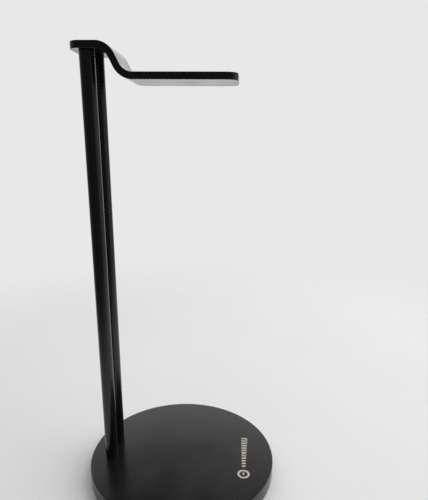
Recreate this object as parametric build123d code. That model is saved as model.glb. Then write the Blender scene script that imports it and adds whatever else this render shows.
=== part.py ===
from build123d import *
import os
from math import cos, radians, sin, tan

# Headphone stand: a round steel base, two round posts near its rim and an S-bent hanger plate
# across the tops of the posts, held together by M4 screws from above and from below.
# Frame: millimetres, origin at the bottom centre of the foot pad, +Z up, +X from the posts
# towards the free end of the hanger, +Y from the near post to the far post.

# ---------------------------------------------------------------- driving dimensions

# Overall
STAND_HEIGHT = 257.0          # floor to the top face of the hanger plate
BASE_DIAMETER = 120.0

# Base disc
BASE_THICKNESS = 10.0
BASE_TOP_ROUND = 1.0
BASE_FOOT_CHAMFER = 0.6

# Foot pad, glued into a shallow recess under the disc
PAD_THICKNESS = 2.0
PAD_PROUD = 1.0               # how far it stands out below the disc
PAD_RIM = 3.0                 # width of disc left outside the recess
PAD_CLEARANCE = 0.2           # all round the pad
PAD_EDGE_ROUND = 0.4

# Posts
POST_DIAMETER = 8.0
POST_SPACING = 15.6           # between the two post axes
POST_FROM_RIM = 14.0          # base rim to the post axes, along X
POST_SEAT_DEPTH = 2.0         # blind seat in the top of the base
POST_SEAT_CLEARANCE = 0.05    # radial
POST_FOOT_CHAMFER = 0.5
POST_TOP_CHAMFER = 0.2

# Hanger plate
PLATE_THICKNESS = 3.6
PLATE_WIDTH = 26.8
PLATE_CORNER_RADIUS = 6.0
PLATE_EDGE_ROUND = 0.2
PLATE_BACK = 8.3              # post axes to the back end
PLATE_BEND_START = 5.9        # post axes to the start of the first bend
BEND_RADIUS = 9.0             # of the middle of the sheet
BEND_ANGLE = 63.0
HANGER_DROP = 14.15           # from the upper flat to the lower one
REST_LENGTH = 53.0            # flat tongue beyond the second bend

# M4 thread, drawn as a plain cylinder at its outer diameter
THREAD_DIAMETER = 4.0
THREAD_CLEARANCE = 0.05       # radial, between screw and tapped hole
THREAD_END_CHAMFER = 0.4
HOLE_CLEARANCE = 0.25         # radial, where a screw passes straight through
TAP_RUNOUT = 2.0              # tapped hole left beyond the end of the screw

# Countersunk socket screws through the hanger plate
HANGER_SCREW_LENGTH = 10.0    # over all
HANGER_HEAD_DIAMETER = 7.6
HANGER_HEAD_SINK = 0.1        # head below the face of the plate
HANGER_SOCKET_FLATS = 2.5
HANGER_SOCKET_DEPTH = 1.4

# Low-head socket screws through the base, each with a split lock washer and a flat washer
BASE_SCREW_LENGTH = 12.0      # under the head
BASE_HEAD_DIAMETER = 7.0
BASE_HEAD_HEIGHT = 2.8
BASE_HEAD_ROUND = 0.3
BASE_HEAD_SINK = 0.3          # head above the ceiling of the pad recess
BASE_SOCKET_FLATS = 2.5
BASE_SOCKET_DEPTH = 1.6
FLAT_WASHER_DIAMETER = 8.0
FLAT_WASHER_THICKNESS = 0.5
FLAT_WASHER_CLEARANCE = 0.15  # radial, on the screw
LOCK_WASHER_WIDTH = 1.4       # of its wire, across the ring
LOCK_WASHER_THICKNESS = 0.9
LOCK_WASHER_CLEARANCE = 0.1   # radial, on the screw
LOCK_WASHER_SPLIT = 0.5
LOCK_WASHER_SPLIT_TILT = 25.0
COUNTERBORE_CLEARANCE = 0.3   # radial, round the flat washer

# ---------------------------------------------------------------- worked out from them

BASE_RADIUS = BASE_DIAMETER / 2
BASE_BOTTOM = PAD_PROUD
BASE_TOP = BASE_BOTTOM + BASE_THICKNESS
RECESS_CEILING = PAD_THICKNESS
RECESS_RADIUS = BASE_RADIUS - PAD_RIM

POST_X = POST_FROM_RIM - BASE_RADIUS
POST_RADIUS = POST_DIAMETER / 2
POST_BOTTOM = BASE_TOP - POST_SEAT_DEPTH
PLATE_UNDERSIDE = STAND_HEIGHT - PLATE_THICKNESS
POST_Y = {"near": -POST_SPACING / 2, "far": POST_SPACING / 2}

THREAD_RADIUS = THREAD_DIAMETER / 2
TAP_RADIUS = THREAD_RADIUS + THREAD_CLEARANCE
HOLE_RADIUS = THREAD_RADIUS + HOLE_CLEARANCE

HEAD_BOTTOM = RECESS_CEILING + BASE_HEAD_SINK
LOCK_WASHER_BOTTOM = HEAD_BOTTOM + BASE_HEAD_HEIGHT
FLAT_WASHER_BOTTOM = LOCK_WASHER_BOTTOM + LOCK_WASHER_THICKNESS
COUNTERBORE_TOP = FLAT_WASHER_BOTTOM + FLAT_WASHER_THICKNESS
COUNTERBORE_RADIUS = FLAT_WASHER_DIAMETER / 2 + COUNTERBORE_CLEARANCE
BASE_SCREW_TOP = LOCK_WASHER_BOTTOM + BASE_SCREW_LENGTH

HANGER_HEAD_TOP = STAND_HEIGHT - HANGER_HEAD_SINK
HANGER_HEAD_HEIGHT = HANGER_HEAD_DIAMETER / 2 - THREAD_RADIUS
HANGER_SCREW_BOTTOM = HANGER_HEAD_TOP - HANGER_SCREW_LENGTH


# ---------------------------------------------------------------- shapes used more than once

STANDING = (Align.CENTER, Align.CENTER, Align.MIN)


def rod(radius, bottom, top):
    """A plain upright cylinder between two heights."""
    return Pos(0, 0, bottom) * Cylinder(radius, top - bottom, align=STANDING)


def cone(bottom_radius, top_radius, bottom, top):
    """An upright cone frustum between two heights."""
    return Pos(0, 0, bottom) * Cone(bottom_radius, top_radius, top - bottom, align=STANDING)


def hex_socket(flats, bottom, top):
    """The hexagonal hole of a socket screw."""
    outline = Pos(0, 0, bottom) * RegularPolygon(flats / 2, 6, major_radius=False)
    return extrude(outline, amount=top - bottom)


def at_posts(shape):
    """The same shape at both post axes."""
    return [Pos(POST_X, y, 0) * shape for y in POST_Y.values()]


# ---------------------------------------------------------------- pieces

def base_disc():
    """Round plate with two blind post seats above and counterbored screw holes beneath."""
    disc = rod(BASE_RADIUS, BASE_BOTTOM, BASE_TOP)
    disc = fillet(disc.edges().group_by(Axis.Z)[-1], BASE_TOP_ROUND)
    disc = chamfer(disc.edges().group_by(Axis.Z)[0], BASE_FOOT_CHAMFER)
    disc -= rod(RECESS_RADIUS, BASE_BOTTOM, RECESS_CEILING)
    disc -= at_posts(rod(POST_RADIUS + POST_SEAT_CLEARANCE, POST_BOTTOM, BASE_TOP))
    disc -= at_posts(rod(HOLE_RADIUS, RECESS_CEILING, POST_BOTTOM))
    disc -= at_posts(rod(COUNTERBORE_RADIUS, RECESS_CEILING, COUNTERBORE_TOP))
    return disc


def foot_pad():
    """Thin non-slip disc that fills the recess and carries the stand."""
    pad = rod(RECESS_RADIUS - PAD_CLEARANCE, 0, RECESS_CEILING)
    return fillet(pad.edges().group_by(Axis.Z)[0], PAD_EDGE_ROUND)


def post():
    """Round bar, chamfered and tapped at both ends, standing on the floor of its seat."""
    bar = rod(POST_RADIUS, POST_BOTTOM, PLATE_UNDERSIDE)
    bar = chamfer(bar.edges().group_by(Axis.Z)[0], POST_FOOT_CHAMFER)
    bar = chamfer(bar.edges().group_by(Axis.Z)[-1], POST_TOP_CHAMFER)
    bar -= rod(TAP_RADIUS, POST_BOTTOM, BASE_SCREW_TOP + TAP_RUNOUT)
    bar -= rod(TAP_RADIUS, HANGER_SCREW_BOTTOM - TAP_RUNOUT, PLATE_UNDERSIDE)
    return bar


def hanger_plate():
    """Flat bar bent twice, down and level again, with rounded corners at both ends."""
    turn = radians(BEND_ANGLE)
    tangent = BEND_RADIUS * tan(turn / 2)
    slope = (HANGER_DROP - 2 * BEND_RADIUS * (1 - cos(turn))) / sin(turn)
    sloped_run = slope + 2 * tangent
    upper = STAND_HEIGHT - PLATE_THICKNESS / 2
    lower = upper - HANGER_DROP
    first_corner = POST_X + PLATE_BEND_START + tangent
    second_corner = first_corner + sloped_run * cos(turn)
    back_end = POST_X - PLATE_BACK
    free_end = second_corner + tangent + REST_LENGTH
    corners = [(back_end, upper), (first_corner, upper), (second_corner, lower), (free_end, lower)]
    middle = FilletPolyline(*corners, radius=BEND_RADIUS)
    section = Plane.XZ * trace(middle, line_width=PLATE_THICKNESS)
    plate = extrude(section, amount=PLATE_WIDTH / 2, both=True)
    plate = fillet(plate.edges().filter_by(Axis.Z), PLATE_CORNER_RADIUS)

    upright = plate.edges().filter_by(Axis.Z)
    across = plate.edges().filter_by(Axis.Y).group_by(SortBy.LENGTH)[-1]
    plate = fillet(plate.edges() - upright - across, PLATE_EDGE_ROUND)

    sink_radius = HANGER_HEAD_DIAMETER / 2 + HANGER_HEAD_SINK
    countersink = cone(HOLE_RADIUS, sink_radius, STAND_HEIGHT - sink_radius + HOLE_RADIUS, STAND_HEIGHT)
    plate -= at_posts(rod(HOLE_RADIUS, PLATE_UNDERSIDE, STAND_HEIGHT))
    plate -= at_posts(countersink)
    return plate


def hanger_screw():
    """Countersunk socket screw, its head just below the face of the hanger plate."""
    neck = HANGER_HEAD_TOP - HANGER_HEAD_HEIGHT
    shank = rod(THREAD_RADIUS, HANGER_SCREW_BOTTOM, neck)
    shank = chamfer(shank.edges().group_by(Axis.Z)[0], THREAD_END_CHAMFER)
    head = cone(THREAD_RADIUS, HANGER_HEAD_DIAMETER / 2, neck, HANGER_HEAD_TOP)
    socket = hex_socket(HANGER_SOCKET_FLATS, HANGER_HEAD_TOP - HANGER_SOCKET_DEPTH, HANGER_HEAD_TOP)
    return shank + head - socket


def base_screw():
    """Low-head socket screw, pointing up into the post."""
    shank = rod(THREAD_RADIUS, LOCK_WASHER_BOTTOM, BASE_SCREW_TOP)
    shank = chamfer(shank.edges().group_by(Axis.Z)[-1], THREAD_END_CHAMFER)
    head = rod(BASE_HEAD_DIAMETER / 2, HEAD_BOTTOM, LOCK_WASHER_BOTTOM)
    head = fillet(head.edges().group_by(Axis.Z)[0], BASE_HEAD_ROUND)
    socket = hex_socket(BASE_SOCKET_FLATS, HEAD_BOTTOM, HEAD_BOTTOM + BASE_SOCKET_DEPTH)
    return shank + head - socket


def lock_washer():
    """Split spring washer, pressed flat, with its slanted cut facing outwards."""
    inner = THREAD_RADIUS + LOCK_WASHER_CLEARANCE
    top = LOCK_WASHER_BOTTOM + LOCK_WASHER_THICKNESS
    ring = rod(inner + LOCK_WASHER_WIDTH, LOCK_WASHER_BOTTOM, top) - rod(inner, LOCK_WASHER_BOTTOM, top)
    middle = Pos(-inner - LOCK_WASHER_WIDTH / 2, 0, (LOCK_WASHER_BOTTOM + top) / 2)
    cut = Box(2 * LOCK_WASHER_WIDTH, LOCK_WASHER_SPLIT, 3 * LOCK_WASHER_THICKNESS)
    return ring - middle * Rot(LOCK_WASHER_SPLIT_TILT, 0, 0) * cut


def flat_washer():
    """Plain washer between the lock washer and the base."""
    washer = rod(FLAT_WASHER_DIAMETER / 2, FLAT_WASHER_BOTTOM, COUNTERBORE_TOP)
    return washer - rod(THREAD_RADIUS + FLAT_WASHER_CLEARANCE, FLAT_WASHER_BOTTOM, COUNTERBORE_TOP)


# ---------------------------------------------------------------- files, one for each piece

os.makedirs("parts", exist_ok=True)

pieces = {"base_disc": base_disc(), "foot_pad": foot_pad(), "hanger_plate": hanger_plate()}
for side, y in POST_Y.items():
    axis = Pos(POST_X, y, 0)
    pieces[side + "_post"] = axis * post()
    pieces["hanger_screw_" + side] = axis * hanger_screw()
    pieces["base_screw_" + side] = axis * base_screw()
    pieces["lock_washer_" + side] = axis * lock_washer()
    pieces["flat_washer_" + side] = axis * flat_washer()

for name, piece in pieces.items():
    export_step(piece, "parts/" + name + ".step")
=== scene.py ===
"""The finished surfaces of a headphone stand, built in metres around its packed engineering model.

Every size that another piece depends on is read from that model. What is set here is what a maker
chooses: edge rounds, thread form, coatings, the printed mark and the studio.
"""

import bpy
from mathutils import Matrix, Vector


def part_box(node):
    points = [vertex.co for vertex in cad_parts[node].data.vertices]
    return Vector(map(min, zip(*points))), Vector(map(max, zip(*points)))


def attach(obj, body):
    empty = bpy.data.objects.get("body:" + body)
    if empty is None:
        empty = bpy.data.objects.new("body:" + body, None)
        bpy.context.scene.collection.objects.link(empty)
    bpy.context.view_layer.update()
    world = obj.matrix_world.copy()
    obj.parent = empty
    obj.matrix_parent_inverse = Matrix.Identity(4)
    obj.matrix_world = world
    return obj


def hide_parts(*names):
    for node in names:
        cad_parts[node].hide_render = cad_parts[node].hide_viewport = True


bl_info = {
    "name": "Headphone Stand",
    "version": (1, 0, 0),
    "blender": (4, 5, 0),
    "location": "View3D > Sidebar > Headphone Stand",
    "description": "Builds a black steel headphone stand and a plain studio round it",
    "category": "Add Mesh",
}

import functools
import math

import bmesh
import bpy
from bpy.props import FloatProperty, FloatVectorProperty, IntProperty, PointerProperty
from bpy.types import Operator, Panel, PropertyGroup
from mathutils import Matrix, Vector

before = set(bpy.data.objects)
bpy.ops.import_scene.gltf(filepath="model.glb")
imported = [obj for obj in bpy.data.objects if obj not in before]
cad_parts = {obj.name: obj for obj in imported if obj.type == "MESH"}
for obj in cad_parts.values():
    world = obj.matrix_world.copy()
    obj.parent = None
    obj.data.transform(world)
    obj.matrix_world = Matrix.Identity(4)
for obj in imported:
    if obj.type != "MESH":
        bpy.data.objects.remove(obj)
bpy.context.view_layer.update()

MM = 0.001
SIDES = ("near", "far")


# ---------------------------------------------------------------- sizes read from the model

def radius_of(node):
    """Half the width of a round CAD node across Y."""
    low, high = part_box(node)
    return (high.y - low.y) / 2


def axis_of(node):
    """The upright axis of a round CAD node, as (x, y)."""
    low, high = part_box(node)
    return (low.x + high.x) / 2, (low.y + high.y) / 2


def span_of(node):
    """Lowest and highest level of a CAD node."""
    low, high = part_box(node)
    return low.z, high.z


# ---------------------------------------------------------------- colours

def linear(code):
    """An sRGB hex colour as the linear values that shaders work in."""
    shares = [int(code[i:i + 2], 16) / 255 for i in (1, 3, 5)]
    return tuple(s / 12.92 if s <= 0.04045 else ((s + 0.055) / 1.055) ** 2.4 for s in shares)


def opaque(shade):
    """A colour property, or an sRGB hex colour, as the four values of a shader socket."""
    values = linear(shade) if isinstance(shade, str) else shade
    return (*values, 1.0)


# ---------------------------------------------------------------- settings

def length(name, description, millimetres):
    """A length property, stored in metres."""
    return FloatProperty(
        name=name, description=description, default=millimetres * MM, unit="LENGTH", precision=5
    )


def colour(name, description, code):
    """A colour property, given as an sRGB hex value."""
    return FloatVectorProperty(
        name=name, description=description, default=linear(code),
        subtype="COLOR", size=3, min=0, max=1
    )


def angle(name, description, degrees):
    """An angle property, given in degrees."""
    return FloatProperty(
        name=name, description=description, default=math.radians(degrees),
        subtype="ANGLE", unit="ROTATION"
    )


def share(name, description, default):
    """A property from 0 to 1."""
    return FloatProperty(
        name=name, description=description, default=default, min=0, max=1, subtype="FACTOR"
    )


def power(name, description, watts):
    """A lamp's power."""
    return FloatProperty(name=name, description=description, default=watts, min=0, unit="POWER")


def brightness(name, description, default):
    """How bright a part of the room is, 1 being white."""
    return FloatProperty(name=name, description=description, default=default, min=0)


class StandSizes(PropertyGroup):
    """Sizes that the looks add to the engineering model"""

    base_top_round: length("Base rim round", "Radius of the rounded top edge of the base", 1.0)
    base_foot_chamfer: length("Base foot chamfer", "Chamfer round the underside of the base", 0.6)
    pad_gap: length("Pad gap", "Gap round the foot pad in its recess", 0.2)
    pad_round: length("Pad edge round", "Radius of the foot pad's lower edge", 0.4)
    seat_gap: length("Seat gap", "Gap round each post where it enters the base", 0.05)
    post_foot_chamfer: length("Post foot chamfer", "Chamfer at the foot of each post", 0.5)
    post_top_chamfer: length("Post top chamfer", "Chamfer at the top of each post", 0.2)
    bend_radius: length("Bend radius", "Radius of the middle of the hanger plate in its bends", 9.0)
    bend_angle: angle("Bend angle", "How far the hanger plate turns in each bend", 63)
    bend_start: length("Bend start", "From the post axes to the first bend", 5.9)
    plate_corner: length("Plate corners", "Radius of the hanger plate's corners", 6.0)
    plate_edge_round: length("Plate edge round", "Radius of the hanger plate's edges", 0.2)
    thread_pitch: length("Thread pitch", "Pitch of the M4 thread", 0.7)
    thread_gap: length("Thread gap", "Gap between a screw's crests and its tapped hole", 0.05)
    hole_gap: length("Hole gap", "Gap round a screw that passes through", 0.25)
    hanger_head_sink: length("Head sink", "Depth of the countersunk heads below the plate's face", 0.1)
    socket_flats: length("Socket size", "Across the flats of the screws' hex sockets", 2.5)
    mark_from_rim: length("Mark from rim", "From the base's rim to the middle of the printed mark", 19.0)
    mark_thickness: length("Ink thickness", "How far the printed ink stands up", 0.03)
    facets: IntProperty(
        name="Facets", description="Facets round a large turned surface", default=256, min=24
    )


class StandFinish(PropertyGroup):
    """Colours and sheen of the stand's surfaces"""

    coat: colour("Powder coat", "Satin black of the base and the hanger plate", "#0D0D0D")
    coat_sheen: share("Coat roughness", "Roughness of the satin powder coat", 0.24)
    enamel: colour("Post enamel", "Semi-gloss black of the posts", "#101010")
    enamel_sheen: share("Enamel roughness", "Roughness of the posts", 0.17)
    oxide: colour("Black oxide", "Colour of the hanger screws", "#2B2B2E")
    zinc: colour("Zinc plate", "Colour of the base screws and their washers", "#B7BCC2")
    foam: colour("Foot pad", "Colour of the foam rubber pad", "#19191A")
    ink: colour("Mark ink", "Champagne ink of the printed mark", "#CBC5B7")


class StandStage(PropertyGroup):
    """The plain studio and its camera"""

    floor: colour("Floor", "Colour of the pale floor", "#E6E6E6")
    backdrop: colour("Backdrop", "Colour of the air behind the stand", "#E8E8E8")
    key_power: power("Key light", "Power of the soft key light", 23.2)
    fill_power: power("Fill light", "Power of the overhead light", 10.5)
    lower_walls: brightness("Lower walls", "Brightness of the lower walls where they are whitest", 1.75)
    upper_walls: brightness("Upper walls", "Brightness of the upper walls where they are whitest", 1.0)
    ceiling: brightness("Ceiling", "Brightness of the ceiling", 0.5)
    focal_length: length("Focal length", "Lens of the camera", 32.45)
    camera_place: FloatVectorProperty(
        name="Camera place", description="Where the camera stands",
        default=(0.0378, -0.2547, 0.2077), subtype="TRANSLATION", unit="LENGTH"
    )
    camera_heading: angle("Camera heading", "How far the camera turns to its left", 4.10)
    camera_tilt: angle("Camera tilt", "How far the camera looks down", 17.09)
    camera_roll: angle("Camera roll", "How far the camera leans over", 0.75)


# ---------------------------------------------------------------- mesh work

TINY = 1e-7
FINE_FACETS = 96
# Steps of a small round, from one face to the next.
ROUND_STEPS = 5


def arc(centre, radius, start, end, steps=ROUND_STEPS):
    """Points of an arc in a profile, its two ends among them. Angles are in degrees."""
    turns = [math.radians(start + (end - start) * step / steps) for step in range(steps + 1)]
    return [(centre[0] + radius * math.cos(turn), centre[1] + radius * math.sin(turn)) for turn in turns]


def polar(axis, reach, around, height):
    """A point by its reach and its bearing from an upright axis."""
    return axis[0] + reach * math.cos(around), axis[1] + reach * math.sin(around), height


def turn(mesh, profile, axis, facets=FINE_FACETS, ring=False):
    """Turn a profile of (radius, height) points round an upright axis, as on a lathe.

    A radius may be a function of the angle, for threads. A ring's profile closes on itself.
    """
    rows = []
    for radius, height in profile:
        if not callable(radius) and radius < TINY:
            rows.append([mesh.verts.new((axis[0], axis[1], height))])
            continue
        row = []
        for facet in range(facets):
            around = math.tau * facet / facets
            reach = radius(around) if callable(radius) else radius
            row.append(mesh.verts.new(polar(axis, reach, around, height)))
        rows.append(row)
    following = rows[1:] + rows[:1] if ring else rows[1:]
    for lower, upper in zip(rows, following):
        for here in range(facets):
            there = (here + 1) % facets
            corners = (
                lower[here % len(lower)], lower[there % len(lower)],
                upper[there % len(upper)], upper[here % len(upper)],
            )
            mesh.faces.new(dict.fromkeys(corners))


def made(name, mesh):
    """A new object in the scene that holds this mesh, its faces turned outwards."""
    bmesh.ops.recalc_face_normals(mesh, faces=mesh.faces)
    data = bpy.data.meshes.new(name)
    mesh.to_mesh(data)
    mesh.free()
    piece = bpy.data.objects.new(name, data)
    bpy.context.scene.collection.objects.link(piece)
    return piece


def turned(name, profile, axis, facets=FINE_FACETS, ring=False):
    """A lathe-turned piece as a new object."""
    mesh = bmesh.new()
    turn(mesh, profile, axis, facets, ring)
    return made(name, mesh)


def cut(piece, cutters):
    """Take the cutters' volumes out of a piece and remove the cutters."""
    for cutter in cutters:
        knife = piece.modifiers.new("Cut", "BOOLEAN")
        knife.operation = "DIFFERENCE"
        knife.solver = "EXACT"
        knife.object = cutter
    result = piece.evaluated_get(bpy.context.evaluated_depsgraph_get())
    data = bpy.data.meshes.new_from_object(result)
    piece.modifiers.clear()
    piece.data = data
    for cutter in cutters:
        bpy.data.objects.remove(cutter)


# An edge that turns more than SHARP shows as an edge. Wear starts where the surface turns by GENTLE
# from one facet to the next, and is full where it turns by WORN.
SHARP = math.radians(35)
GENTLE = math.radians(7)
WORN = math.radians(16)


def dress(piece, finish, *nodes, slot=None):
    """Smooth a finished piece, note where its edges are, and put it in the place of its CAD nodes."""
    data = piece.data
    mesh = bmesh.new()
    mesh.from_mesh(data)
    mesh.verts.ensure_lookup_table()
    bends = []
    for vert in mesh.verts:
        angles = [edge.calc_face_angle(0) for edge in vert.link_edges]
        bends.append(max(angles, default=0))
    mesh.free()
    edge_wear = data.attributes.new("edge_wear", "FLOAT", "POINT")
    for vert, bend in zip(edge_wear.data, bends):
        vert.value = min(1.0, max(0.0, (bend - GENTLE) / (WORN - GENTLE)))
    data.shade_smooth()
    data.set_sharp_from_angle(angle=SHARP)
    normals = piece.modifiers.new("Flat faces stay flat", "WEIGHTED_NORMAL")
    normals.keep_sharp = True
    data.materials.clear()
    data.materials.append(finish)
    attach(piece, "root")
    if nodes:
        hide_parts(*nodes)


# ---------------------------------------------------------------- materials

NOISE = "ShaderNodeTexNoise"
CELLS = "ShaderNodeTexVoronoi"
RANGE = "ShaderNodeMapRange"
MATHS = "ShaderNodeMath"
MIX = "ShaderNodeMix"
BUMP = "ShaderNodeBump"
PRINCIPLED = "ShaderNodeBsdfPrincipled"
SOFTLY = {"interpolation_type": "SMOOTHSTEP"}
TIMES = {"operation": "MULTIPLY"}
COLOURS = {"data_type": "RGBA"}
EDGE_WEAR = {"attribute_name": "edge_wear"}


def node(tree, kind, settings=None, sockets=None, stops=()):
    """Add a shader node with its settings, what fills or feeds its sockets, and its scale's stops.

    A node that feeds a socket does so from its first output. A stop is (position, shade of grey).
    """
    added = tree.nodes.new(kind)
    for name, value in (settings or {}).items():
        setattr(added, name, value)
    for name, value in (sockets or {}).items():
        named = [socket for socket in added.inputs if socket.enabled and socket.name == name]
        socket = named[0] if named else added.inputs[name]
        if isinstance(value, bpy.types.Node):
            value = next(output for output in value.outputs if output.enabled)
        if isinstance(value, bpy.types.NodeSocket):
            tree.links.new(value, socket)
        else:
            socket.default_value = value
    for index, (position, shade) in enumerate(stops):
        elements = added.color_ramp.elements
        element = elements[index] if index < 2 else elements.new(position)
        element.position = position
        element.color = (shade, shade, shade, 1.0)
    return added


def per_mm(size):
    """The texture scale that draws a pattern with features about this many millimetres across."""
    return 1 / (size * MM)


def material(name):
    """Name a function that joins up a surface, so that it makes this material once and hands it out."""
    def named(surface):
        @functools.wraps(surface)
        def made_once(settings):
            found = bpy.data.materials.get(name)
            if found is None:
                found = bpy.data.materials.new(name)
                found.use_nodes = True
                tree = found.node_tree
                tree.nodes.clear()
                place = node(tree, "ShaderNodeTexCoord").outputs["Object"]
                shader = surface(tree, place, settings)
                node(tree, "ShaderNodeOutputMaterial", sockets={"Surface": shader})
            return found
        return made_once
    return named


@material("Powder-coated steel, satin black")
def powder_coated_steel(tree, place, finish):
    """Steel, powder coated satin black and baked.

    The powder melts into a skin with a faint orange peel, which breaks up every reflection, and
    pulls thin at edges, which look a little greyer and glossier. Dust settles on what faces up.
    """
    peel = node(tree, NOISE, sockets={"Vector": place, "Scale": per_mm(1.6), "Detail": 1.0})
    # Real powder grit is about 0.05 mm across. It is drawn at 0.35 mm, the finest that still shows.
    grit = node(tree, NOISE, sockets={"Vector": place, "Scale": per_mm(0.35), "Detail": 2.0})
    clouds = node(tree, NOISE, sockets={"Vector": place, "Scale": per_mm(24), "Detail": 4.0})
    patches = node(tree, NOISE, sockets={"Vector": place, "Scale": per_mm(5), "Detail": 4.0})

    edges = node(tree, "ShaderNodeAttribute", EDGE_WEAR).outputs["Fac"]
    uneven = node(tree, RANGE, SOFTLY, {
        "Value": patches, "From Min": 0.35, "From Max": 0.65, "To Min": 0.25, "To Max": 1.0,
    })
    thin = node(tree, MATHS, TIMES, {0: edges, 1: uneven})

    normal = node(tree, "ShaderNodeNewGeometry").outputs["Normal"]
    upward = node(tree, "ShaderNodeSeparateXYZ", sockets={"Vector": normal}).outputs["Z"]
    shelf = node(tree, RANGE, SOFTLY, {"Value": upward, "From Min": 0.6, "From Max": 1.0})
    settled = node(tree, RANGE, SOFTLY, {
        "Value": clouds, "From Min": 0.3, "From Max": 0.75, "To Min": 0.04, "To Max": 0.2,
    })
    dust = node(tree, MATHS, TIMES, {0: shelf, 1: settled})

    # A mote of dust sits in fewer than half of the cells of a 3.5 mm net and is about 0.3 mm across.
    net = node(tree, CELLS, sockets={"Vector": place, "Scale": per_mm(3.5)})
    lot = node(tree, "ShaderNodeSeparateColor", sockets={"Color": net.outputs["Color"]}).outputs["Red"]
    chosen = node(tree, RANGE, SOFTLY, {"Value": lot, "From Min": 0.55, "From Max": 0.6, "To Max": 0.6})
    dot = node(tree, RANGE, SOFTLY, {
        "Value": net.outputs["Distance"],
        "From Min": 0.03, "From Max": 0.07, "To Min": 1.0, "To Max": 0.0,
    })
    landed = node(tree, MATHS, TIMES, {0: dot, 1: chosen})
    mote = node(tree, MATHS, TIMES, {0: landed, 1: shelf})

    tone = node(tree, MIX, COLOURS, {"Factor": dust, "A": opaque(finish.coat), "B": opaque("#2A2A2A")})
    tone = node(tree, MIX, COLOURS, {"Factor": mote, "A": tone, "B": opaque("#6E6C69")})
    rubbed = node(tree, MATHS, TIMES, {0: thin, 1: 0.5})
    tone = node(tree, MIX, COLOURS, {"Factor": rubbed, "A": tone, "B": opaque("#343434")})
    sheen = node(tree, RANGE, SOFTLY, {
        "Value": clouds, "From Min": 0.3, "From Max": 0.7,
        "To Min": finish.coat_sheen - 0.03, "To Max": finish.coat_sheen + 0.04,
    })
    polish = node(tree, MATHS, TIMES, {0: thin, 1: -0.08})
    rough = node(tree, MATHS, {"operation": "ADD"}, {0: sheen, 1: polish})
    skin = node(tree, BUMP, sockets={"Height": peel, "Distance": 0.01 * MM})
    skin = node(tree, BUMP, sockets={"Height": grit, "Distance": 0.0018 * MM, "Normal": skin})
    return node(tree, PRINCIPLED, sockets={
        "Base Color": tone, "Roughness": rough, "IOR": 1.5, "Normal": skin,
    })


@material("Enamelled steel bar, semi-gloss black")
def enamelled_bar(tree, place, finish):
    """Drawn steel bar, dipped in semi-gloss black enamel.

    The enamel flows smoother than powder, so the posts carry crisp dark reflections with thin bright
    lines at their flanks. Faint draw lines run along the bar under the enamel.
    """
    # Draw lines are 0.1 mm apart on a real bar. They are drawn 0.5 mm apart and 80 mm long to show.
    drawn = node(tree, "ShaderNodeMapping", sockets={"Vector": place, "Scale": (1, 1, 0.5 / 80)})
    lines = node(tree, NOISE, sockets={"Vector": drawn, "Scale": per_mm(0.5), "Detail": 2.0})
    flow = node(tree, NOISE, sockets={"Vector": place, "Scale": per_mm(9), "Detail": 2.0})
    handling = node(tree, NOISE, sockets={"Vector": place, "Scale": per_mm(30), "Detail": 5.0})
    edges = node(tree, "ShaderNodeAttribute", EDGE_WEAR).outputs["Fac"]
    rubbed = node(tree, MATHS, TIMES, {0: edges, 1: 0.3})
    tone = node(tree, MIX, COLOURS, {"Factor": rubbed, "A": opaque(finish.enamel), "B": opaque("#2E2E32")})
    rough = node(tree, RANGE, SOFTLY, {
        "Value": handling, "From Min": 0.35, "From Max": 0.7,
        "To Min": finish.enamel_sheen - 0.02, "To Max": finish.enamel_sheen + 0.05,
    })
    skin = node(tree, BUMP, sockets={"Height": flow, "Distance": 0.006 * MM})
    skin = node(tree, BUMP, sockets={"Height": lines, "Distance": 0.0012 * MM, "Normal": skin})
    return node(tree, PRINCIPLED, sockets={
        "Base Color": tone, "Roughness": rough, "IOR": 1.5, "Normal": skin,
    })


@material("Black oxide steel, oiled")
def black_oxide_steel(tree, place, finish):
    """Alloy steel, heat treated, blackened in hot oxide salts and oiled.

    It stays a metal with a dark, slightly brown sheen, bright only where a key has rubbed it.
    """
    mottle = node(tree, NOISE, sockets={"Vector": place, "Scale": per_mm(0.9), "Detail": 3.0})
    edges = node(tree, "ShaderNodeAttribute", EDGE_WEAR).outputs["Fac"]
    uneven = node(tree, RANGE, SOFTLY, {
        "Value": mottle, "From Min": 0.35, "From Max": 0.65, "To Min": 0.1, "To Max": 0.6,
    })
    rubbed = node(tree, MATHS, TIMES, {0: edges, 1: uneven})
    tone = node(tree, MIX, COLOURS, {"Factor": rubbed, "A": opaque(finish.oxide), "B": opaque("#6A6761")})
    rough = node(tree, RANGE, SOFTLY, {
        "Value": mottle, "From Min": 0.3, "From Max": 0.7, "To Min": 0.3, "To Max": 0.45,
    })
    skin = node(tree, BUMP, sockets={"Height": mottle, "Distance": 0.004 * MM})
    return node(tree, PRINCIPLED, sockets={
        "Base Color": tone, "Metallic": 1.0, "Roughness": rough, "Normal": skin,
    })


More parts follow.
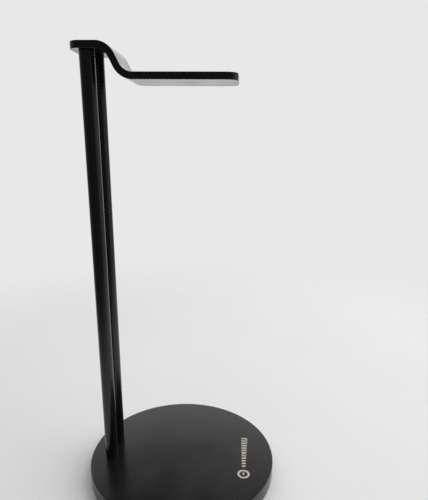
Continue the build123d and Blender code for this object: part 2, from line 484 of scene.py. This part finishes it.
@material("Zinc-plated steel, clear passivated")
def zinc_plated_steel(tree, place, finish):
    """Steel, electroplated with bright zinc and passivated.

    The passivation leaves a thin film that drifts between bluish and straw over a few millimetres.
    """
    film = node(tree, NOISE, sockets={"Vector": place, "Scale": per_mm(3), "Detail": 2.0})
    crystal = node(tree, NOISE, sockets={"Vector": place, "Scale": per_mm(0.4), "Detail": 3.0})
    straw = node(tree, RANGE, SOFTLY, {"Value": film, "From Min": 0.35, "From Max": 0.65})
    tone = node(tree, MIX, COLOURS, {"Factor": straw, "A": opaque(finish.zinc), "B": opaque("#C4BFAE")})
    rough = node(tree, RANGE, SOFTLY, {
        "Value": crystal, "From Min": 0.3, "From Max": 0.7, "To Min": 0.22, "To Max": 0.36,
    })
    skin = node(tree, BUMP, sockets={"Height": crystal, "Distance": 0.003 * MM})
    return node(tree, PRINCIPLED, sockets={
        "Base Color": tone, "Metallic": 1.0, "Roughness": rough, "Normal": skin,
    })


@material("EVA foam rubber, skived")
def closed_cell_foam(tree, place, finish):
    """EVA foam rubber, skived from a block and die cut.

    Cutting opens the cells at the surface, so it is fully matt and finely pitted.
    """
    # Cells are about 0.15 mm across. They are drawn at 0.6 mm to show.
    cells = node(tree, CELLS, sockets={"Vector": place, "Scale": per_mm(0.6)}).outputs["Distance"]
    blotches = node(tree, NOISE, sockets={"Vector": place, "Scale": per_mm(12), "Detail": 3.0})
    paler = node(tree, RANGE, SOFTLY, {"Value": blotches, "From Min": 0.35, "From Max": 0.7})
    tone = node(tree, MIX, COLOURS, {"Factor": paler, "A": opaque(finish.foam), "B": opaque("#252526")})
    rough = node(tree, RANGE, SOFTLY, {
        "Value": cells, "From Min": 0.0, "From Max": 0.6, "To Min": 0.95, "To Max": 0.78,
    })
    pits = node(tree, BUMP, sockets={"Height": cells, "Distance": 0.08 * MM})
    return node(tree, PRINCIPLED, sockets={
        "Base Color": tone, "Roughness": rough, "IOR": 1.45, "Normal": pits,
    })


@material("Pad-printed ink, champagne")
def printed_ink(tree, place, finish):
    """Two-part ink with pearl pigment, pad printed on the coat.

    It dries matt and slightly uneven, a little thinner where the pad lifted first.
    """
    lift = node(tree, NOISE, sockets={"Vector": place, "Scale": per_mm(1.8), "Detail": 4.0})
    pearl = node(tree, NOISE, sockets={"Vector": place, "Scale": per_mm(0.3), "Detail": 1.0})
    full = node(tree, RANGE, SOFTLY, {"Value": lift, "From Min": 0.3, "From Max": 0.7})
    tone = node(tree, MIX, COLOURS, {"Factor": full, "A": opaque("#A8A192"), "B": opaque(finish.ink)})
    rough = node(tree, RANGE, SOFTLY, {
        "Value": pearl, "From Min": 0.3, "From Max": 0.7, "To Min": 0.38, "To Max": 0.55,
    })
    skin = node(tree, BUMP, sockets={"Height": pearl, "Distance": 0.004 * MM})
    return node(tree, PRINCIPLED, sockets={
        "Base Color": tone, "Metallic": 0.25, "Roughness": rough, "Normal": skin,
    })


@material("Painted board, matt pale grey")
def painted_board(tree, place, stage):
    """Board, rolled with matt emulsion.

    The roller leaves a faint stipple and long soft drifts in the paint. The board fades into the air
    before its edge, so that the room has no horizon.
    """
    stipple = node(tree, NOISE, sockets={"Vector": place, "Scale": per_mm(2.5), "Detail": 3.0})
    drifts = node(tree, NOISE, sockets={"Vector": place, "Scale": per_mm(90), "Detail": 3.0})
    darker = node(tree, RANGE, SOFTLY, {"Value": drifts, "From Min": 0.3, "From Max": 0.7})
    shaded = opaque([0.985 * value for value in stage.floor])
    tone = node(tree, MIX, COLOURS, {"Factor": darker, "A": opaque(stage.floor), "B": shaded})
    skin = node(tree, BUMP, sockets={"Height": stipple, "Distance": 0.01 * MM})
    paint = node(tree, PRINCIPLED, sockets={
        "Base Color": tone, "Roughness": 0.75, "IOR": 1.45, "Normal": skin,
    })
    away = node(tree, "ShaderNodeVectorMath", {"operation": "DISTANCE"}, {0: place, 1: FLOOR_MIDDLE})
    fade = node(tree, RANGE, SOFTLY, {
        "Value": away.outputs["Value"], "From Min": FLOOR_WHOLE, "From Max": FLOOR_GONE,
    })
    gone = node(tree, "ShaderNodeBsdfTransparent")
    return node(tree, "ShaderNodeMixShader", sockets={0: fade, 1: paint, 2: gone})


# ---------------------------------------------------------------- the base

SCREW_RADIUS = 2 * MM
COUNTERBORE_GAP = 0.3 * MM
# Rings that keep the faces of a wide flat small.
BASE_RINGS = 40


def plug(name, axis, radius, bottom, top):
    """A round cutter."""
    return turned(name, [(0, bottom), (radius, bottom), (radius, top), (0, top)], axis)


class STAND_OT_base_disc(Operator):
    """Build the round base with its post seats, screw holes and pad recess"""

    bl_idname = "stand.base_disc"
    bl_label = "Base disc"

    def execute(self, context):
        sizes = context.scene.stand_sizes
        bottom, top = span_of("base_disc")
        ceiling = span_of("foot_pad")[1]
        rim = radius_of("base_disc")
        recess = radius_of("foot_pad") + sizes.pad_gap
        chamfer = sizes.base_foot_chamfer
        rounding = sizes.base_top_round
        rings = [ring / BASE_RINGS for ring in range(1, BASE_RINGS)]
        profile = [(0, ceiling)] + [(recess * ring, ceiling) for ring in rings]
        profile += [(recess, ceiling), (recess, bottom)]
        profile += [(rim - chamfer, bottom), (rim, bottom + chamfer)]
        profile += arc((rim - rounding, top - rounding), rounding, 0, 90, 2 * ROUND_STEPS)
        profile += [((rim - rounding) * ring, top) for ring in reversed(rings)] + [(0, top)]
        disc = turned("base_disc_coated", profile, axis_of("base_disc"), sizes.facets)
        cutters = []
        for side in SIDES:
            axis = axis_of(side + "_post")
            post = radius_of(side + "_post")
            seat = span_of(side + "_post")[0]
            washer = radius_of("flat_washer_" + side)
            shelf = span_of("flat_washer_" + side)[1]
            cutters.append(plug("seat", axis, post + sizes.seat_gap, seat, top + MM))
            cutters.append(plug("hole", axis, SCREW_RADIUS + sizes.hole_gap, shelf - MM, seat + MM / 2))
            cutters.append(plug("counterbore", axis, washer + COUNTERBORE_GAP, ceiling - MM, shelf))
        cut(disc, cutters)
        dress(disc, powder_coated_steel(context.scene.stand_finish), "base_disc", slot="black_coat")
        return {"FINISHED"}


class STAND_OT_foot_pad(Operator):
    """Build the non-slip pad under the base"""

    bl_idname = "stand.foot_pad"
    bl_label = "Foot pad"

    def execute(self, context):
        sizes = context.scene.stand_sizes
        bottom, top = span_of("foot_pad")
        rim = radius_of("foot_pad")
        rounding = sizes.pad_round
        profile = [(0, bottom)] + [(rim * ring, bottom) for ring in (0.25, 0.5, 0.75)]
        profile += arc((rim - rounding, bottom + rounding), rounding, -90, 0)
        profile += [(rim, top), (rim * 0.5, top), (0, top)]
        pad = turned("foot_pad_foam", profile, axis_of("foot_pad"), sizes.facets)
        dress(pad, closed_cell_foam(context.scene.stand_finish), "foot_pad", slot="pad_rubber")
        return {"FINISHED"}


# ---------------------------------------------------------------- the posts

# How far the tapped thread goes on beyond the screw, the chamfer at its mouth, and the drill's cone.
TAP_SPARE = 2 * MM
TAP_LEAD = 0.3 * MM
DRILL_POINT = math.radians(31)
POST_RINGS = 24


class STAND_OT_posts(Operator):
    """Build the two round posts, tapped at both ends"""

    bl_idname = "stand.posts"
    bl_label = "Posts"

    def execute(self, context):
        sizes = context.scene.stand_sizes
        for side in SIDES:
            name = side + "_post"
            bottom, top = span_of(name)
            rim = radius_of(name)
            bore = SCREW_RADIUS + sizes.thread_gap
            mouth = bore + TAP_LEAD
            lower_end = span_of("base_screw_" + side)[1] + TAP_SPARE
            upper_end = span_of("hanger_screw_" + side)[0] - TAP_SPARE
            cone = bore * math.tan(DRILL_POINT)
            first = bottom + sizes.post_foot_chamfer
            last = top - sizes.post_top_chamfer
            profile = [(0, lower_end + cone), (bore, lower_end), (bore, bottom + TAP_LEAD), (mouth, bottom)]
            profile += [(rim - sizes.post_foot_chamfer, bottom), (rim, first)]
            steps = [(last - first) * ring / POST_RINGS for ring in range(1, POST_RINGS + 1)]
            profile += [(rim, first + step) for step in steps]
            profile += [(rim - sizes.post_top_chamfer, top), (mouth, top), (bore, top - TAP_LEAD)]
            profile += [(bore, upper_end), (0, upper_end - cone)]
            bar = turned(name + "_bar", profile, axis_of(name))
            dress(bar, enamelled_bar(context.scene.stand_finish), name, slot="black_bar")
        return {"FINISHED"}


# ---------------------------------------------------------------- the hanger plate

BEND_STEPS = 20
CORNER_STEPS = 14
PLATE_COLUMNS = 20


class STAND_OT_hanger_plate(Operator):
    """Build the hanger plate from its flat outline, bent and countersunk"""

    bl_idname = "stand.hanger_plate"
    bl_label = "Hanger plate"

    def execute(self, context):
        sizes = context.scene.stand_sizes
        low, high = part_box("hanger_plate")
        thickness = high.z - span_of("near_post")[1]
        middle = high.z - thickness / 2
        drop = high.z - low.z - thickness
        radius = sizes.bend_radius
        bend_angle = sizes.bend_angle
        first_flat = axis_of("near_post")[0] + sizes.bend_start - low.x
        bend = radius * bend_angle
        slope = (drop - 2 * radius * (1 - math.cos(bend_angle))) / math.sin(bend_angle)
        bend_reach = 2 * radius * math.sin(bend_angle) + slope * math.cos(bend_angle)
        last_flat = high.x - low.x - first_flat - bend_reach
        runs = [(first_flat, 0), (bend, 1), (slope, 0), (bend, -1), (last_flat, 0)]

        def bent(along, across, above):
            """Where a point of the flat blank comes to lie once the plate is bent."""
            x, z, heading = low.x, middle, 0.0
            for index, (run, curl) in enumerate(runs):
                step = min(along, run) if index < len(runs) - 1 else along
                if curl:
                    leaving = heading + curl * step / radius
                    x += radius * curl * (math.sin(leaving) - math.sin(heading))
                    z -= radius * curl * (math.cos(heading) - math.cos(leaving))
                    heading = leaving
                else:
                    x += step * math.cos(heading)
                    z -= step * math.sin(heading)
                along -= step
                if along <= TINY:
                    break
            return x + above * math.sin(heading), across, z + above * math.cos(heading)

        total = sum(run for run, curl in runs)
        half = (high.y - low.y) / 2
        corner = sizes.plate_corner
        turns = [math.pi / 2 * step / CORNER_STEPS for step in range(CORNER_STEPS + 1)]
        stations = []
        start = 0.0
        for run, curl in runs:
            pieces = BEND_STEPS if curl else round(run / MM)
            stations += [start + run * step / pieces for step in range(pieces)]
            start += run
        sides = [along for along in stations if corner + TINY < along < total - corner - TINY]

        def outline(inset):
            """Matched points (along, half width) from the back end to the free end."""
            reach = corner - inset
            back = [(corner - reach * math.cos(a), half - corner + reach * math.sin(a)) for a in turns]
            front = [(total - along, across) for along, across in reversed(back)]
            return back + [(along, half - inset) for along in sides] + front

        rounding = sizes.plate_edge_round
        rounded = arc((rounding, thickness / 2 - rounding), rounding, 90, 180)
        levels = rounded + [(inset, -above) for inset, above in reversed(rounded)]
        mesh = bmesh.new()
        rings = []
        for inset, above in levels:
            points = outline(inset)
            right = [mesh.verts.new(bent(along, across, above)) for along, across in points]
            left = [mesh.verts.new(bent(along, -across, above)) for along, across in points]
            rings.append((right, left))
        loops = [right + left[::-1] for right, left in rings]
        for above, below in zip(loops, loops[1:]):
            for here in range(len(above)):
                there = (here + 1) % len(above)
                mesh.faces.new((above[here], above[there], below[there], below[here]))
        parts = [column / PLATE_COLUMNS for column in range(1, PLATE_COLUMNS)]
        for right, left in (rings[0], rings[-1]):
            rows = []
            for one, other in zip(right, left):
                between = [one.co.lerp(other.co, part) for part in parts]
                rows.append([one, *[mesh.verts.new(place) for place in between], other])
            for row, following in zip(rows, rows[1:]):
                for here in range(PLATE_COLUMNS):
                    mesh.faces.new((row[here], row[here + 1], following[here + 1], following[here]))
        plate = made("hanger_plate_coated", mesh)

        cutters = []
        top = high.z
        for side in SIDES:
            axis = axis_of("hanger_screw_" + side)
            hole = SCREW_RADIUS + sizes.hole_gap
            mouth = radius_of("hanger_screw_" + side) + sizes.hanger_head_sink
            under = top - 2 * thickness
            profile = [(0, under), (hole, under), (hole, top - mouth + hole)]
            profile += [(mouth, top), (mouth, top + MM), (0, top + MM)]
            cutters.append(turned("countersink", profile, axis))
        cut(plate, cutters)
        dress(plate, powder_coated_steel(context.scene.stand_finish), "hanger_plate", slot="black_coat")
        return {"FINISHED"}


# ---------------------------------------------------------------- screws and washers

THREAD_STEPS = 10
# An M thread's depth, half the flat of its crest and the width of its flank, in pitches.
THREAD_DEPTH = 0.6134
HALF_CREST = 1 / 16
FLANK = 5 / 16

# A ring on a screw head's flat face, as a share of the head's radius.
FACE_RING = 0.7
HEAD_LAND = 0.15 * MM
HEAD_ROUND = 0.3 * MM
# The cone that the drill leaves at a socket's floor, as a share of the socket's radius.
SOCKET_CONE = 0.25
HANGER_SOCKET_DEPTH = 1.4 * MM
BASE_SOCKET_DEPTH = 1.6 * MM

FLAT_WASHER_BORE = 2.15 * MM
LOCK_WASHER_BORE = 2.1 * MM
WASHER_ROUND = 0.12 * MM
HALF_SPLIT = 0.25 * MM
SPLIT_SLANT = math.radians(25)


def thread_rows(bottom, top, crest, pitch, up):
    """Profile rows of an M thread between two levels, its point at the top if up is true."""
    depth = THREAD_DEPTH * pitch
    rows = []
    count = max(2, round((top - bottom) / pitch * THREAD_STEPS))
    for step in range(count + 1):
        level = bottom + (top - bottom) * step / count
        to_point = top - level if up else level - bottom
        from_head = level - bottom if up else top - level
        lead = min(1.0, to_point / pitch)
        runout = min(1.0, from_head / pitch)

        def radius(around, level=level, lead=lead, runout=runout):
            phase = (level / pitch - around / math.tau) % 1.0
            flank = min(1.0, max(0.0, (abs(phase - 0.5) - HALF_CREST) / FLANK))
            return crest - depth * max(flank * runout, 1 - lead)

        rows.append((radius, level))
    return rows


def hex_key(axis, flats, mouth, floor):
    """A cutter for a hex socket, its drilled floor coned."""
    reach = flats / math.sqrt(3)
    direction = 1 if floor > mouth else -1
    outside = mouth - direction * MM
    tip = floor + direction * SOCKET_CONE * reach
    return turned("key", [(0, outside), (reach, outside), (reach, floor), (0, tip)], axis, 6)


class STAND_OT_hanger_screws(Operator):
    """Build the countersunk socket screws that hold the hanger plate"""

    bl_idname = "stand.hanger_screws"
    bl_label = "Hanger screws"

    def execute(self, context):
        sizes = context.scene.stand_sizes
        for side in SIDES:
            name = "hanger_screw_" + side
            axis = axis_of(name)
            bottom, top = span_of(name)
            head = radius_of(name)
            neck = top - (head - SCREW_RADIUS)
            land = HEAD_LAND
            profile = [(0, bottom)]
            profile += thread_rows(bottom, neck, SCREW_RADIUS, sizes.thread_pitch, up=False)
            profile += [(head - land, top - land), (head, top - 0.6 * land), (head - 0.5 * land, top)]
            profile += [(head * FACE_RING, top), (0, top)]
            screw = turned(name + "_m4", profile, axis)
            cut(screw, [hex_key(axis, sizes.socket_flats, top, top - HANGER_SOCKET_DEPTH)])
            dress(screw, black_oxide_steel(context.scene.stand_finish), name, slot="black_screw")
        return {"FINISHED"}


class STAND_OT_base_screws(Operator):
    """Build the low-head socket screws that hold the posts to the base"""

    bl_idname = "stand.base_screws"
    bl_label = "Base screws"

    def execute(self, context):
        sizes = context.scene.stand_sizes
        for side in SIDES:
            name = "base_screw_" + side
            axis = axis_of(name)
            bottom, top = span_of(name)
            head = radius_of(name)
            bearing = span_of("lock_washer_" + side)[0]
            profile = [(0, bottom), (head * FACE_RING, bottom)]
            profile += arc((head - HEAD_ROUND, bottom + HEAD_ROUND), HEAD_ROUND, -90, 0)
            profile += [(head, bearing - HEAD_ROUND / 2), (head - HEAD_ROUND / 2, bearing)]
            profile += thread_rows(bearing, top, SCREW_RADIUS, sizes.thread_pitch, up=True)
            profile += [(0, top)]
            screw = turned(name + "_m4", profile, axis)
            cut(screw, [hex_key(axis, sizes.socket_flats, bottom, bottom + BASE_SOCKET_DEPTH)])
            dress(screw, zinc_plated_steel(context.scene.stand_finish), name, slot="zinc_screw")
        return {"FINISHED"}


class STAND_OT_washers(Operator):
    """Build the flat washers and the split lock washers under the base"""

    bl_idname = "stand.washers"
    bl_label = "Washers"

    def execute(self, context):
        for side in SIDES:
            self.flat_washer(context, "flat_washer_" + side)
            self.lock_washer(context, "lock_washer_" + side, side)
        return {"FINISHED"}

    def flat_washer(self, context, name):
        """A punched ring, rounded on the side that the punch entered."""
        bottom, top = span_of(name)
        outer = radius_of(name)
        inner = FLAT_WASHER_BORE
        rolled = WASHER_ROUND
        profile = arc((outer - rolled, bottom + rolled), rolled, -90, 0, 3)
        profile += [(outer, top), (inner, top)]
        profile += arc((inner + rolled, bottom + rolled), rolled, 180, 270, 3)
        washer = turned(name + "_zinc", profile, axis_of(name), ring=True)
        dress(washer, zinc_plated_steel(context.scene.stand_finish), name, slot="zinc_screw")

    def lock_washer(self, context, name, side):
        """A coil of square wire, pressed flat, its slanted cut facing outwards."""
        bottom, top = span_of(name)
        axis = axis_of("base_screw_" + side)
        outer = radius_of(name)
        inner = LOCK_WASHER_BORE
        rolled = WASHER_ROUND
        corners = [(inner, bottom), (outer, bottom), (outer, top), (inner, top)]
        section = []
        for index, (radius, height) in enumerate(corners):
            inwards = rolled if radius == inner else -rolled
            upwards = rolled if height == bottom else -rolled
            start = 180 + 90 * index
            section += arc((radius + inwards, height + upwards), rolled, start, start + 90, 3)
        level = (bottom + top) / 2
        slant = math.tan(SPLIT_SLANT)
        mesh = bmesh.new()
        rows = []
        for facet in range(FINE_FACETS + 1):
            row = []
            for radius, height in section:
                start = math.pi + (HALF_SPLIT + slant * (height - level)) / radius
                sweep = math.tau - 2 * HALF_SPLIT / radius
                around = start + sweep * facet / FINE_FACETS
                row.append(mesh.verts.new(polar(axis, radius, around, height)))
            rows.append(row)
        for row, following in zip(rows, rows[1:]):
            for here in range(len(section)):
                there = (here + 1) % len(section)
                mesh.faces.new((row[here], row[there], following[there], following[here]))
        mesh.faces.new(rows[0])
        mesh.faces.new(rows[-1][::-1])
        washer = made(name + "_zinc", mesh)
        dress(washer, zinc_plated_steel(context.scene.stand_finish), name, slot="zinc_screw")


# ---------------------------------------------------------------- the printed mark

KNOB_Y = -17.8 * MM
KNOB_OUTER = 3.9 * MM
KNOB_INNER = 2.5 * MM
KNOB_FACETS = 64
POINTER = (1.0 * MM, 2.6 * MM)
POINTER_ABOVE = 0.6 * MM
POINTER_ROUND = 0.3 * MM
BARS = 12
FIRST_BAR_WIDTH = 2.4 * MM
BARS_WIDEN = 2.0 * MM
BAR_PITCH = 2.6 * MM
BAR_HEIGHT = 1.5 * MM
BAR_ROUND = 0.35 * MM
FIRST_BAR_Y = -10.4 * MM
# The ink starts a little inside the coat, so that no light gets under it.
INK_DEPTH = 0.01 * MM


def slab(mesh, centre, size, corner, levels):
    """A flat-topped raised shape with rounded corners."""
    outline = []
    across = size[0] / 2 - corner
    along = size[1] / 2 - corner
    for quarter, (side_x, side_y) in enumerate(((1, 1), (-1, 1), (-1, -1), (1, -1))):
        middle = (centre[0] + side_x * across, centre[1] + side_y * along)
        outline += arc(middle, corner, 90 * quarter, 90 * quarter + 90, 4)
    loops = [[mesh.verts.new((x, y, level)) for x, y in outline] for level in levels]
    for here in range(len(outline)):
        there = (here + 1) % len(outline)
        mesh.faces.new((loops[0][here], loops[0][there], loops[1][there], loops[1][here]))
    mesh.faces.new(loops[1])
    mesh.faces.new(loops[0][::-1])


class STAND_OT_printed_mark(Operator):
    """Print a plain volume knob and level scale on the base"""

    bl_idname = "stand.printed_mark"
    bl_label = "Printed mark"

    def execute(self, context):
        sizes = context.scene.stand_sizes
        top = span_of("base_disc")[1]
        low = top - INK_DEPTH
        high = top + sizes.mark_thickness
        x = axis_of("base_disc")[0] + radius_of("base_disc") - sizes.mark_from_rim
        mesh = bmesh.new()
        ring = [(KNOB_OUTER, low), (KNOB_OUTER, high), (KNOB_INNER, high), (KNOB_INNER, low)]
        turn(mesh, ring, (x, KNOB_Y), KNOB_FACETS, ring=True)
        slab(mesh, (x, KNOB_Y + POINTER_ABOVE), POINTER, POINTER_ROUND, (low, high))
        for bar in range(BARS):
            width = FIRST_BAR_WIDTH + BARS_WIDEN * bar / (BARS - 1)
            slab(mesh, (x, FIRST_BAR_Y + bar * BAR_PITCH), (width, BAR_HEIGHT), BAR_ROUND, (low, high))
        mark = made("printed_mark", mesh)
        dress(mark, printed_ink(context.scene.stand_finish))
        return {"FINISHED"}


# ---------------------------------------------------------------- the studio

FLOOR_RADIUS = 0.7
FLOOR_RINGS = 7
# The paint is whole up to FLOOR_WHOLE from FLOOR_MIDDLE, and gone at FLOOR_GONE.
FLOOR_MIDDLE = (0.03, 0.12, 0.0)
FLOOR_WHOLE = 0.2
FLOOR_GONE = 0.5

# Each softbox's width and place.
KEY_BOX = (2.1, (1.15, 0.35, 1.15))
FILL_BOX = (2.4, (-0.1, 0.3, 1.6))
LAMPS_AIM = (0, 0, 0.1)

# How far the frame is lifted above the lens's axis.
CAMERA_SHIFT = 0.07

# The room as the stand mirrors it, in shades from 0 to 1: by bearing in degrees round from +Y to +X,
# and by height as the sine of the angle above the floor. The lower walls are white behind, grey on the
# right and dark in front. The upper walls are brighter on both sides of the middle.
LOWER_BY_BEARING = (
    (-180, 0.07), (-110, 0.1), (-71, 0.28), (-42, 0.55), (-18, 0.95), (8, 1.0),
    (24, 0.42), (40, 0.3), (87, 0.41), (107, 0.31), (126, 0.06), (161, 0.1), (180, 0.07),
)
LOWER_BY_HEIGHT = (
    (0.0, 0.66), (0.2, 0.77), (0.43, 0.77), (0.5, 1.0), (0.54, 0.92), (0.567, 0.19), (0.6, 0.0),
)
UPPER_BY_BEARING = (
    (-180, 0.2), (-70, 0.5), (-35, 1.0), (-9, 0.0), (17, 1.0), (70, 0.5), (180, 0.2),
)
UPPER_BY_HEIGHT = ((0.5, 0.0), (0.58, 1.0), (0.64, 0.7), (0.7, 0.2), (0.85, 0.0))
CEILING_FROM = 0.76
CEILING_WHOLE = 0.95


class STAND_OT_stage(Operator):
    """Set up the pale floor, the soft light and the camera"""

    bl_idname = "stand.stage"
    bl_label = "Stage"

    def execute(self, context):
        stage = context.scene.stand_stage
        self.floor(stage)
        self.air(context.scene, stage)
        self.softbox("Key softbox, high on the right", stage.key_power, *KEY_BOX)
        self.softbox("Fill softbox, overhead", stage.fill_power, *FILL_BOX)
        self.camera(context.scene, stage)
        context.scene.view_settings.view_transform = "Standard"
        return {"FINISHED"}

    def floor(self, stage):
        """A round painted board that reaches as far as its paint does."""
        mesh = bmesh.new()
        rings = [FLOOR_RADIUS * ring / FLOOR_RINGS for ring in range(FLOOR_RINGS + 1)]
        turn(mesh, [(radius, 0) for radius in rings], (0, 0))
        board = made("floor_board", mesh)
        board.data.materials.append(painted_board(stage))

    def air(self, scene, stage):
        """An even backdrop to look at, and a room of graded walls that the stand mirrors."""
        world = bpy.data.worlds.new("Studio")
        scene.world = world
        world.use_nodes = True
        tree = world.node_tree
        tree.nodes.clear()
        direction = node(tree, "ShaderNodeTexCoord").outputs["Generated"]
        split = node(tree, "ShaderNodeSeparateXYZ", sockets={"Vector": direction})
        height = split.outputs["Z"]
        bearing = node(tree, MATHS, {"operation": "ARCTAN2"}, {
            0: split.outputs["X"], 1: split.outputs["Y"],
        })
        around = node(tree, RANGE, sockets={"Value": bearing, "From Min": -math.pi, "From Max": math.pi})
        strength = node(tree, RANGE, SOFTLY, {
            "Value": height, "From Min": CEILING_FROM, "From Max": CEILING_WHOLE, "To Max": stage.ceiling,
        })
        rooms = (
            (stage.lower_walls, LOWER_BY_BEARING, LOWER_BY_HEIGHT),
            (stage.upper_walls, UPPER_BY_BEARING, UPPER_BY_HEIGHT),
        )
        for brightest, by_bearing, by_height in rooms:
            turned_to = [(0.5 + degrees / 360, shade) for degrees, shade in by_bearing]
            across = node(tree, "ShaderNodeValToRGB", sockets={"Fac": around}, stops=turned_to)
            upwards = node(tree, "ShaderNodeValToRGB", sockets={"Fac": height}, stops=by_height)
            wall = node(tree, MATHS, TIMES, {0: across, 1: upwards})
            strength = node(tree, MATHS, {"operation": "MULTIPLY_ADD"}, {
                0: wall, 1: brightest, 2: strength,
            })
        lit = node(tree, "ShaderNodeBackground", sockets={"Color": opaque("#FFFFFF"), "Strength": strength})
        seen = node(tree, "ShaderNodeBackground", sockets={"Color": opaque(stage.backdrop)})
        straight = node(tree, "ShaderNodeLightPath").outputs["Is Camera Ray"]
        mixed = node(tree, "ShaderNodeMixShader", sockets={0: straight, 1: lit, 2: seen})
        node(tree, "ShaderNodeOutputWorld", sockets={"Surface": mixed})

    def softbox(self, name, power, size, place):
        """A wide softbox aimed at the stand, that only lights and isn't itself reflected."""
        data = bpy.data.lights.new(name, "AREA")
        data.size = size
        data.energy = power
        lamp = bpy.data.objects.new(name, data)
        bpy.context.scene.collection.objects.link(lamp)
        lamp.location = place
        lamp.visible_glossy = False
        aim = Vector(LAMPS_AIM) - lamp.location
        lamp.rotation_euler = aim.to_track_quat("-Z", "Y").to_euler()

    def camera(self, scene, stage):
        """A quarter of a metre in front and a little below the hanger, looking down at the base."""
        data = bpy.data.cameras.new("Camera")
        data.sensor_width = 36.0
        data.lens = stage.focal_length / MM
        data.shift_y = CAMERA_SHIFT
        data.clip_start = 0.01
        camera = bpy.data.objects.new("Camera", data)
        scene.collection.objects.link(camera)
        heading = Matrix.Rotation(stage.camera_heading, 4, "Z")
        tilt = Matrix.Rotation(math.pi / 2 - stage.camera_tilt, 4, "X")
        roll = Matrix.Rotation(stage.camera_roll, 4, "Z")
        camera.matrix_world = Matrix.Translation(stage.camera_place) @ heading @ tilt @ roll
        scene.camera = camera


# ---------------------------------------------------------------- sidebar and registration

STEPS = (
    STAND_OT_stage,
    STAND_OT_base_disc,
    STAND_OT_foot_pad,
    STAND_OT_posts,
    STAND_OT_hanger_plate,
    STAND_OT_hanger_screws,
    STAND_OT_base_screws,
    STAND_OT_washers,
    STAND_OT_printed_mark,
)


GROUPS = {"stand_sizes": StandSizes, "stand_finish": StandFinish, "stand_stage": StandStage}


class STAND_PT_panel(Panel):
    """List the stand's settings and the steps that build it"""

    bl_idname = "STAND_PT_panel"
    bl_label = "Headphone Stand"
    bl_space_type = "VIEW_3D"
    bl_region_type = "UI"
    bl_category = "Headphone Stand"

    def draw(self, context):
        for name in GROUPS:
            group = getattr(context.scene, name)
            box = self.layout.box()
            box.label(text=name.replace("_", " ").title())
            for setting in group.__annotations__:
                box.prop(group, setting)
        for step in STEPS:
            self.layout.operator(step.bl_idname)


def register():
    for group in GROUPS.values():
        bpy.utils.register_class(group)
    for step in (*STEPS, STAND_PT_panel):
        bpy.utils.register_class(step)
    for name, group in GROUPS.items():
        setattr(bpy.types.Scene, name, PointerProperty(type=group))


def unregister():
    for name in GROUPS:
        delattr(bpy.types.Scene, name)
    for step in (STAND_PT_panel, *reversed(STEPS)):
        bpy.utils.unregister_class(step)
    for group in reversed(list(GROUPS.values())):
        bpy.utils.unregister_class(group)


def main():
    """Build the stage and every piece."""
    register()
    for step in STEPS:
        category, name = step.bl_idname.split(".")
        getattr(getattr(bpy.ops, category), name)()


if __name__ == "__main__":
    main()
